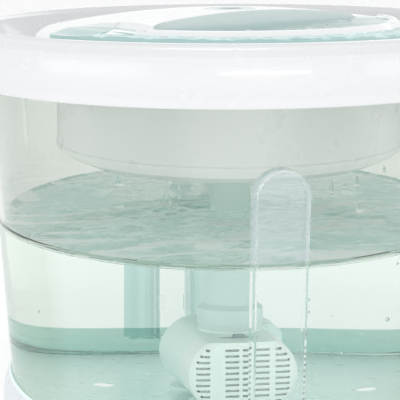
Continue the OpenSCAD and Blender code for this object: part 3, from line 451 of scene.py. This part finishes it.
def lathe(name, prof, m, seg, closed=True, smooth=35):
    """Turns a profile of (r, z) round Z; a point with r = 0 becomes a pole."""
    verts, rings = [], []
    for r, z in prof:
        if r < 1e-6:
            rings.append([len(verts)])
            verts.append((0, 0, z))
        else:
            rings.append(range(len(verts), len(verts) + seg))
            verts += turned(r, z, seg)
    faces = []
    pairs = list(zip(rings, rings[1:])) + ([(rings[-1], rings[0])] if closed else [])
    for a, b in pairs:
        if len(a) == 1 and len(b) == 1:
            continue
        for k in range(seg):
            n = (k + 1) % seg
            if len(a) == 1:
                faces.append((a[0], b[k], b[n]))
            elif len(b) == 1:
                faces.append((a[k], b[0], a[n]))
            else:
                faces.append((a[k], b[k], b[n], a[n]))
    return add_mesh(name, verts, faces, m, smooth)


def arc(cx, cz, r, a0, a1, n):
    """The points of an arc between two angles, in n steps."""
    turns = [math.radians(a0 + (a1 - a0) * i / n) for i in range(n + 1)]
    return [(cx + r * math.cos(t), cz + r * math.sin(t)) for t in turns]


def curve(a, b, c, n):
    """The points of a bent line from a to c that leans towards b, in n steps."""
    steps = [i / n for i in range(n + 1)]
    return [tuple(a[k] * (1 - t) ** 2 + b[k] * 2 * t * (1 - t) + c[k] * t * t for k in (0, 1))
            for t in steps]


def split_at(node_name, z, dry, wet, body):
    """Cuts a copy of a clear node at the water level into a dry and a wet piece."""
    for part, m, keep_up in (("dry", dry, True), ("wet", wet, False)):
        me = nodes[node_name].data.copy()
        bm = bmesh.new()
        bm.from_mesh(me)
        whole = bm.verts[:] + bm.edges[:] + bm.faces[:]
        bmesh.ops.bisect_plane(bm, geom=whole, plane_co=(0, 0, z * MM), plane_no=(0, 0, 1),
                               clear_inner=keep_up, clear_outer=not keep_up)
        bm.to_mesh(me)
        bm.free()
        me.materials.clear()
        me.materials.append(m)
        o = add_object(f"{node_name}_{part}", me)
        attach(o, body)
        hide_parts(node_name)


def from_view(xc, yc):
    """Turns a place by the camera's bearing (right, away) into the part's x and y."""
    return xc * math.cos(AZ) - yc * math.sin(AZ), xc * math.sin(AZ) + yc * math.cos(AZ)


def at_angle(deg, r):
    """A place on a circle round Z, by its angle to the right of the nearest point."""
    t = math.radians(deg)
    return from_view(r * math.sin(t), -r * math.cos(t))


def unit(v):
    return min(max(v, 0.0), 1.0)


# ---------- tank and water ----------
def tank_wall():
    """The tank's wall above the water, with the notch for the lead in the back of its rim."""
    z0, z1 = LEVEL - 0.3, RIM - RIM_CUT
    prof = [(tank_in(z0), z0), (tank_out(z0), z0), (tank_out(z1), z1), (tank_out(RIM) - RIM_CUT, RIM),
            (tank_in(RIM) + RIM_CUT, RIM), (tank_in(z1), z1)]
    dry = lathe("tank_wall", prof, TANK, SEG)
    low, high = RIM - NOTCH_DEEP, RIM + 3
    pts = [(-NOTCH_R, high), (-NOTCH_R, low)] + arc(0, low, NOTCH_R, 180, 360, 16)[1:-1]
    pts += [(NOTCH_R, low), (NOTCH_R, high)]
    n = len(pts)
    faces = [tuple(range(n)), tuple(range(2 * n - 1, n - 1, -1))]
    faces += [(i, (i + 1) % n, n + (i + 1) % n, n + i) for i in range(n)]
    cut = add_mesh("cut", [(x, y, z) for y in (78, 95) for x, z in pts], faces, TANK)
    mod = dry.modifiers.new("notch", "BOOLEAN")
    mod.object, mod.operation, mod.solver = cut, "DIFFERENCE", "EXACT"
    dg = bpy.context.evaluated_depsgraph_get()
    me = bpy.data.meshes.new_from_object(dry.evaluated_get(dg))
    dry.modifiers.clear()
    dry.data = me
    bpy.data.objects.remove(cut)
    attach(dry, "tank")
    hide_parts("tank")


# rings on the water: x, y, height, how soon they fade, and from crest to crest
RINGS = [(*from_view(-21.6, -9.9), 0.30, 12, 7.5), (*from_view(33.4, -49), 0.22, 8, 9.0),
         (*from_view(46, -14), 0.22, 14, 8.0), (*from_view(-62, -6), 0.2, 18, 9.0), (0, 0, 0.2, 16, 9.0)]


def ripple(x, y):
    """Height of the tank's water over its level."""
    h = 0.0
    for cx, cy, a, fall, wave in RINGS:
        d = math.hypot(x - cx, y - cy)
        h += a * math.exp(-d / fall) * math.cos(2 * math.pi * d / wave)
    across = x * math.cos(AZ) + y * math.sin(AZ)
    away = (y * math.cos(AZ) - x * math.sin(AZ)) * 1.5
    p = Vector((across, away, 3.1))
    warp = Vector((noise.noise(p / 20.0), noise.noise(p / 20.0 + Vector((9, 4, 2))), 0)) * 9
    h += (0.75 * noise.noise((p + warp) / 17.0)
          + 0.42 * noise.noise((p + warp) / 8.5 + Vector((5, 1, 0))) + 0.14 * noise.noise(p / 4.0))
    return h


def tank_water():
    """The water and the wetted part of the tank as one closed body, with its own surface material."""
    rin, rows = tank_in(LEVEL), 110
    radii = [rin * i / rows for i in range(1, rows + 1)]
    verts = [(0, 0, LEVEL + ripple(0, 0))]
    for r in radii:
        edge = max(0.0, 1 - (rin - r) / 3.2)    # the water climbs the wall here
        verts += [(x, y, z + ripple(x, y) * (1 - 0.7 * edge) + 1.3 * edge ** 2)
                  for x, y, z in turned(r, LEVEL, SEG)]
    d = math.radians(DRAFT)
    rc = tank_out(SEAT) - FOOT_ROUND * (1 - math.sin(d)) / math.cos(d)
    prof = [(tank_out(LEVEL) - 1.0, LEVEL + 0.9), (tank_out(LEVEL), LEVEL + 0.4)]
    prof += [(tank_out(z), z) for z in (75, 60, 45, 33, 26)]
    prof += arc(rc, SEAT + FOOT_ROUND, FOOT_ROUND, -DRAFT, -90, 14)
    prof += [(74, SEAT - SINK)]
    for r, z in prof:
        verts += turned(r, z, SEG)
    loops = len(radii) + len(prof)
    faces = [(0, 1 + k, 1 + (k + 1) % SEG) for k in range(SEG)]
    for i in range(loops - 1):
        a, b = 1 + i * SEG, 1 + (i + 1) * SEG
        for k in range(SEG):
            n = (k + 1) % SEG
            faces.append((a + k, b + k, b + n, a + n))
    last, pole = 1 + (loops - 1) * SEG, len(verts)
    verts.append((0, 0, SEAT - SINK))
    faces += [(last + k, pole, last + (k + 1) % SEG) for k in range(SEG)]
    o = add_mesh("tank_filled", verts, faces, WATER, 50)
    o.data.materials.append(WATER_TOP)
    for p in o.data.polygons:
        c = p.center / MM
        if c.z > LEVEL - 4 and math.hypot(c.x, c.y) < rin + 0.05:
            p.material_index = 1
    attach(o, "tank")
    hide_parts("tank")


tank_wall()
tank_water()
split_at("sight_channel", LEVEL, CHAN_DRY, CHAN_WET, "tank")
split_at("lead_guide", LEVEL, GUIDE_DRY, GUIDE_WET, "tank")
split_at("riser_tube", LEVEL, RISER_DRY, RISER_WET, "riser")


# ---------- water on the tray, in the tray's own frame before its turn ----------
MOUTH, CHORD, CORNER = 56.5, 12.4, 12.0         # bowl's radius, its straight side, its corners
BOWL_Y, BOWL_LOW = -28, CREST - 31              # middle and floor of the bowl
BOWL = [(MOUTH, 160.0), (MOUTH, CREST - 2)]     # its radius at each height, downwards
BOWL += curve((55.5, CREST - 6), (47.5, CREST - 19), (41.0, CREST - 25), 8)
BOWL += curve((39.6, CREST - 27), (37.0, BOWL_LOW), (32.0, BOWL_LOW), 6)

SHOULDER = 63.5                                 # where the dome turns down to the tray's edge
EDGE = [(SHOULDER, dome_at(SHOULDER))]
EDGE += curve((DOME_R, dome_at(DOME_R)), (70.0, dome_at(DOME_R) - 1.6), (70.4, CREST - 9), 12)
SCOOP_X, SCOOP_Y, SCOOP_Z = 58.0, 4.0, 152.5    # spill scoops: middle and floor
SCOOP_R, SCOOP_SIDE = 7.0, 5.0                  # flat floor, and the rounding of the side
GROOVE_X, GROOVE_Z, GROOVE_R = 50.0, 153.4, 7.0
GROOVE_FAR, GROOVE_NEAR = -24, 4
FILM_IN, FILM_OUT, FILM_TURN = 42.0, 70.3, 112  # the wet strip's grid: radii, and degrees to a side
STRIP_R = 61.2                                  # inner edge of the strip on the shoulder


def bowl_at(z):
    for (r0, z0), (r1, z1) in zip(BOWL, BOWL[1:]):
        if z1 <= z <= z0:
            return r1 + (r0 - r1) * (z - z1) / max(z0 - z1, 1e-6)
    return BOWL[-1][0]


def in_bowl(x, y, r):
    if math.hypot(x, y) > r:
        return False
    cx, cy = math.sqrt((MOUTH - CORNER) ** 2 - (CHORD + CORNER) ** 2), -(CHORD + CORNER)
    if abs(x) > cx and y > cy:
        return math.hypot(abs(x) - cx, y - cy) < CORNER + 0.1
    return y < -CHORD + 0.1


def bowl_loop(r, n=180):
    """The bowl's outline at radius r, found by halving along n rays from its middle."""
    loop = []
    for k in range(n):
        t = 2 * math.pi * k / n
        lo, hi = 0.0, 90.0
        for _ in range(22):
            mid = (lo + hi) / 2
            if in_bowl(mid * math.cos(t), BOWL_Y + mid * math.sin(t), r):
                lo = mid
            else:
                hi = mid
        loop.append((lo * math.cos(t), BOWL_Y + lo * math.sin(t)))
    return loop


def bowl_water():
    mouth = bowl_loop(bowl_at(POOL_Z) + 0.1)
    n, rows = len(mouth), 40
    verts, faces = [(0, BOWL_Y, POOL_Z)], []
    for i in range(1, rows + 1):
        f = i / rows
        for x, y in mouth:
            px, py = x * f, BOWL_Y + (y - BOWL_Y) * f
            p = Vector((px, py, 9.0))
            wave = (0.28 * noise.noise(p / 11.0) + 0.14 * noise.noise(p / 5.0)
                    + 0.05 * noise.noise(p / 2.4))
            verts.append((px, py, POOL_Z + wave * (1 - f ** 6)))
    heights = [153.2, 151, 149, 146.5, 144, 141.5, 139, 136.5, 134, 132, 130, 128.5, 127, 126, 125.2,
               124.5, BOWL_LOW - 0.08]
    for z in heights:
        verts += [(x, y, z) for x, y in bowl_loop(bowl_at(max(z, BOWL_LOW)) + 0.1)]
    verts.append((0, BOWL_Y, heights[-1]))
    for k in range(n):
        m = (k + 1) % n
        faces.append((0, 1 + k, 1 + m))
        for i in range(rows + len(heights) - 1):
            a, b = 1 + i * n, 1 + (i + 1) * n
            faces.append((a + k, b + k, b + m, a + m))
        faces.append((len(verts) - 1 - n + k, len(verts) - 1, len(verts) - 1 - n + m))
    o = add_mesh("bowl_pool", verts, faces, POOL, 60)
    o.data.transform(Matrix.Rotation(TURN, 4, "Z"))
    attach(o, "tray")


def tray_face(x, y):
    """Height of the tray's face outside the bowl."""
    r = math.hypot(x, y)
    z = dome_at(r)
    if r > SHOULDER:
        for (r0, z0), (r1, z1) in zip(EDGE, EDGE[1:]):
            if r0 <= r <= r1:
                z = z0 + (z1 - z0) * (r - r0) / max(r1 - r0, 1e-6)
    off = abs(x) - GROOVE_X
    d = math.hypot(abs(x) - SCOOP_X, y - SCOOP_Y)
    if d < SCOOP_R:
        z = min(z, SCOOP_Z)
    elif d < SCOOP_R + SCOOP_SIDE - 0.01:
        z = min(z, SCOOP_Z + SCOOP_SIDE - math.sqrt(SCOOP_SIDE ** 2 - (d - SCOOP_R) ** 2))
    if GROOVE_FAR < y < GROOVE_NEAR and abs(off) < GROOVE_R - 0.01:
        z = min(z, GROOVE_Z + GROOVE_R - math.sqrt(GROOVE_R ** 2 - off ** 2))
    return z


def film_top(x, y):
    """Height of the water that runs over the tray's edge; below zero where there is none."""
    r = math.hypot(x, y)
    top = -1.0
    in_scoop = math.hypot(abs(x) - SCOOP_X, y - SCOOP_Y) < 12.2
    in_groove = GROOVE_FAR < y < GROOVE_NEAR and abs(abs(x) - GROOVE_X) < GROOVE_R
    if in_scoop or in_groove:
        run = unit((r - 58.0) / 9.0)
        top = POOL_Z - 0.15 - 1.3 * run * run * (3 - 2 * run)
    if r > STRIP_R:
        p = Vector((x, y, 2.0))
        thick = 0.75 + 0.35 * noise.noise(p / 7.0) + 0.2 * noise.noise(p / 2.5)
        t = math.degrees(math.atan2(x, -y))
        side = unit((t + 92) / 14) * unit((44 - t) / 12) * unit((r - STRIP_R) / 1.2)
        if side > 0.05:
            top = max(top, tray_face(x, y) + max(thick, 0.3) * side - 0.02)
    return top


def film():
    """Thin water on the tray's shoulder and in its spill scoops."""
    rows, cols = 68, 460
    tops, lows, keep = {}, {}, {}
    for i in range(rows + 1):
        r = FILM_IN + (FILM_OUT - FILM_IN) * i / rows
        for j in range(cols + 1):
            t = math.radians(-FILM_TURN + 2 * FILM_TURN * j / cols)
            x, y = r * math.sin(t), -r * math.cos(t)
            face, top = tray_face(x, y), film_top(x, y)
            wet = top > 0
            tops[i, j] = (x, y, top if wet else face - 0.3)
            lows[i, j] = (x, y, (min(face, top) if wet else face - 0.3) - 0.2)
            keep[i, j] = top > face + 0.01 and not in_bowl(x, y, MOUTH + 0.05)
    verts, faces, index = [], [], {}

    def vid(level, i, j):
        if (level, i, j) not in index:
            index[level, i, j] = len(verts)
            verts.append((tops if level else lows)[i, j])
        return index[level, i, j]

    cells = {(i, j) for i in range(rows) for j in range(cols)
             if keep[i, j] or keep[i + 1, j] or keep[i, j + 1] or keep[i + 1, j + 1]}
    for i, j in cells:
        q = ((i, j), (i + 1, j), (i + 1, j + 1), (i, j + 1))
        faces.append([vid(1, *c) for c in q])
        faces.append([vid(0, *c) for c in reversed(q)])
        for e, (di, dj) in enumerate(((0, -1), (1, 0), (0, 1), (-1, 0))):
            if (i + di, j + dj) not in cells:
                a, b = q[e], q[(e + 1) % 4]
                faces.append([vid(1, *a), vid(0, *a), vid(0, *b), vid(1, *b)])
    o = add_mesh("wet_shoulder", verts, faces, FILM, 60)
    o.data.transform(Matrix.Rotation(TURN, 4, "Z"))
    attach(o, "tray")


bowl_water()
film()


# ---------- drops, streams, bubbles ----------
HANGING = ((-38.0, 1.7, 1.5, 0.9), (33.6, 0.75, 1.1, 3.0), (44.5, 0.9, 1.2, 2.2),  # angle, width,
           (-12.0, 0.5, 0.6, 0.8), (8.0, 0.45, 0.5, 0.9), (62.0, 0.6, 0.7, 0.8))   # height, tail
ON_LIP = ((5.4, 0.9), (24.7, 1.0), (68.2, 1.2), (40.0, 0.5), (31.0, 0.4), (52.0, 0.6))  # angle, size
FALLING = ((46.2, -13.9, 1.6), (40.0, -20.0, 0.8))                                 # right, away, size
BUBBLES = ((-52.6, 61.8, 0.55), (17.8, 74.8, 0.65), (17.9, 70.6, 0.55), (39.6, 63.8, 0.8),  # angle,
           (32.1, 61.0, 0.4), (42.1, 82.0, 0.5), (26.6, 55.6, 0.45), (17.1, 50.7, 0.4),     # height,
           (20.6, 49.8, 0.35), (-14.4, 44.8, 0.35), (-30.0, 52.0, 0.3), (8.0, 66.0, 0.3),   # size
           (23.7, 68.4, 0.3))
STREAMS = ((-21.6, -9.9, 0.42), (-18.4, -9.9, 0.30), (-23.4, -12.0, 0.22))         # right, away, size
HANG_R, LIP_R, BUBBLE_R = 59.2, 57.9, 77.0      # how far out they are
LIP_Z = 155.35


def blob(name, x, y, z, rx, rz, m, body, tail=0.0, flat=False, seg=28):
    """Round drop; tail draws its top up, flat leaves its lower side on a surface."""
    prof = []
    for i in range(19):
        t = math.pi * i / 18
        r, h = rx * math.sin(t), -rz * math.cos(t)
        if tail and h > 0:
            h += tail * (h / rz) ** 2
            r *= 1 - 0.45 * h / (rz + tail) * 0.6
        if flat and h < -0.15 * rz:
            h = -0.15 * rz
        prof.append((max(r, 0.0), h))
    prof[0], prof[-1] = (0.0, prof[0][1]), (0.0, prof[-1][1])
    o = lathe(name, prof, m, seg, closed=False, smooth=60)
    o.location = (x * MM, y * MM, z * MM)
    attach(o, body)


def stream(name, xc, yc, r):
    """Thin run of water from the basin down to the surface, thicker where it meets it."""
    x, y = from_view(xc, yc)
    z0, z1 = LEVEL - 0.4, BASIN_FOOT + 0.2
    prof = [(0.0, z0)]
    for i in range(41):
        z = z0 + (z1 - LEVEL) * i / 40
        swell, foot = math.sin(z * 1.7 + xc) ** 3, math.exp(-((z - LEVEL - 0.2) / 0.7) ** 2)
        prof.append((r * (1 + 0.35 * swell + 1.6 * foot), z))
    prof.append((0.0, z1))
    o = lathe(name, prof, DROP, 20, closed=False, smooth=60)
    o.location = (x * MM, y * MM, 0)
    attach(o, "tank")


for k, (deg, rx, rz, tail) in enumerate(HANGING):
    x, y = at_angle(deg, HANG_R)
    blob(f"hanging_drop_{k}", x, y, BASIN_FOOT - rz - tail + 0.5, rx, rz, DROP, "basin", tail)
for k, (deg, r) in enumerate(ON_LIP):
    x, y = at_angle(deg, LIP_R)
    blob(f"lip_drop_{k}", x, y, LIP_Z, r, r * 0.75, DROP, "tray", flat=True)
for k, (xc, yc, r) in enumerate(FALLING):
    x, y = from_view(xc, yc)
    blob(f"falling_drop_{k}", x, y, LEVEL + 3 + 9 * k, r, r * 1.1, DROP, "tank", 0.4 * r)
for k, (deg, z, r) in enumerate(BUBBLES):
    x, y = at_angle(deg, BUBBLE_R)
    blob(f"bubble_{k}", x, y, z, r, r, BUBBLE, "tank", seg=20)
for k, (xc, yc, r) in enumerate(STREAMS):
    stream(f"stream_{k}", xc, yc, r)


# ---------- light, floor ----------
def sky():
    """White to the camera and to glass and gloss; what lights the object is dimmer from above."""
    w = bpy.data.worlds.new("studio")
    scene.world = w
    w.use_nodes = True
    nt = w.node_tree
    nt.nodes.clear()
    out = nt.nodes.new("ShaderNodeOutputWorld")
    path = nt.nodes.new("ShaderNodeLightPath")
    seen = node(nt, "ShaderNodeBackground", Strength=1.0)
    seen.inputs["Color"].default_value = (1, 1, 1, 1)
    lit = nt.nodes.new("ShaderNodeBackground")
    lit.inputs["Color"].default_value = (0.985, 0.99, 1.0, 1)
    way = nt.nodes.new("ShaderNodeTexCoord")
    sep = nt.nodes.new("ShaderNodeSeparateXYZ")
    nt.links.new(way.outputs["Generated"], sep.inputs[0])
    nt.links.new(spread(nt, sep.outputs["Z"], 1.04, 0.70, 0.2, 0.9), lit.inputs["Strength"])
    bare = larger(nt, path.outputs["Is Camera Ray"], path.outputs["Is Glossy Ray"])
    bare = larger(nt, bare, path.outputs["Is Transmission Ray"])
    mixed = mix_shaders(nt, bare, lit.outputs[0], seen.outputs[0])
    nt.links.new(mixed.outputs[0], out.inputs["Surface"])


def floor():
    """Pale floor with a faint glow of its own."""
    me = bpy.data.meshes.new("floor")
    s = 2.5
    me.from_pydata([(-s, -s, 0), (s, -s, 0), (s, s + 2, 0), (-s, s + 2, 0)], [], [(0, 1, 2, 3)])
    m, mt, mo = new_mat("pale_floor")
    p = node(mt, "ShaderNodeBsdfPrincipled", Roughness=0.6)
    grey = blend_rgb(mt, noise_of(mt, coords(mt), 40), (0.80, 0.80, 0.80), (0.83, 0.83, 0.83))
    mt.links.new(grey, p.inputs["Base Color"])
    glow = node(mt, "ShaderNodeEmission", Strength=0.24)
    both = mt.nodes.new("ShaderNodeAddShader")
    mt.links.new(p.outputs[0], both.inputs[0])
    mt.links.new(glow.outputs[0], both.inputs[1])
    mt.links.new(both.outputs[0], mo.inputs["Surface"])
    me.materials.append(m)
    fl = add_object("floor", me)


def lamp(name, loc, aim, size, power):
    d = bpy.data.lights.new(name, "AREA")
    d.shape, d.size, d.size_y, d.energy = "RECTANGLE", size[0], size[1], power
    o = add_object(name, d)
    o.location = loc
    o.rotation_euler = (Vector(aim) - Vector(loc)).to_track_quat("-Z", "Y").to_euler()


sky()
floor()
lamp("key_box", (-0.25, -0.75, 0.85), (0, 0, 0.1), (0.7, 0.25), 1.6)
lamp("back_box", (0.3, 0.9, 0.8), (0, 0, 0.1), (0.9, 0.5), 1.4)
lamp("left_low", (-0.55, -0.30, 0.10), (0, 0, 0.05), (0.5, 0.18), 0.3)
lamp("right_low", (0.55, -0.30, 0.10), (0, 0, 0.05), (0.5, 0.18), 0.3)
lamp("front_strip", (0.02, -0.70, 0.085), (0.0, -0.09, 0.145), (0.40, 0.05), 0.30)

scene.view_settings.view_transform = "Standard"
scene.view_settings.look = "None"
# many clear walls lie behind each other, so light may bounce often
cy = scene.cycles
cy.max_bounces, cy.transmission_bounces, cy.glossy_bounces = 28, 26, 12
cy.transparent_max_bounces, cy.diffuse_bounces = 24, 5
cy.sample_clamp_indirect = 6.0
cy.use_denoising = True
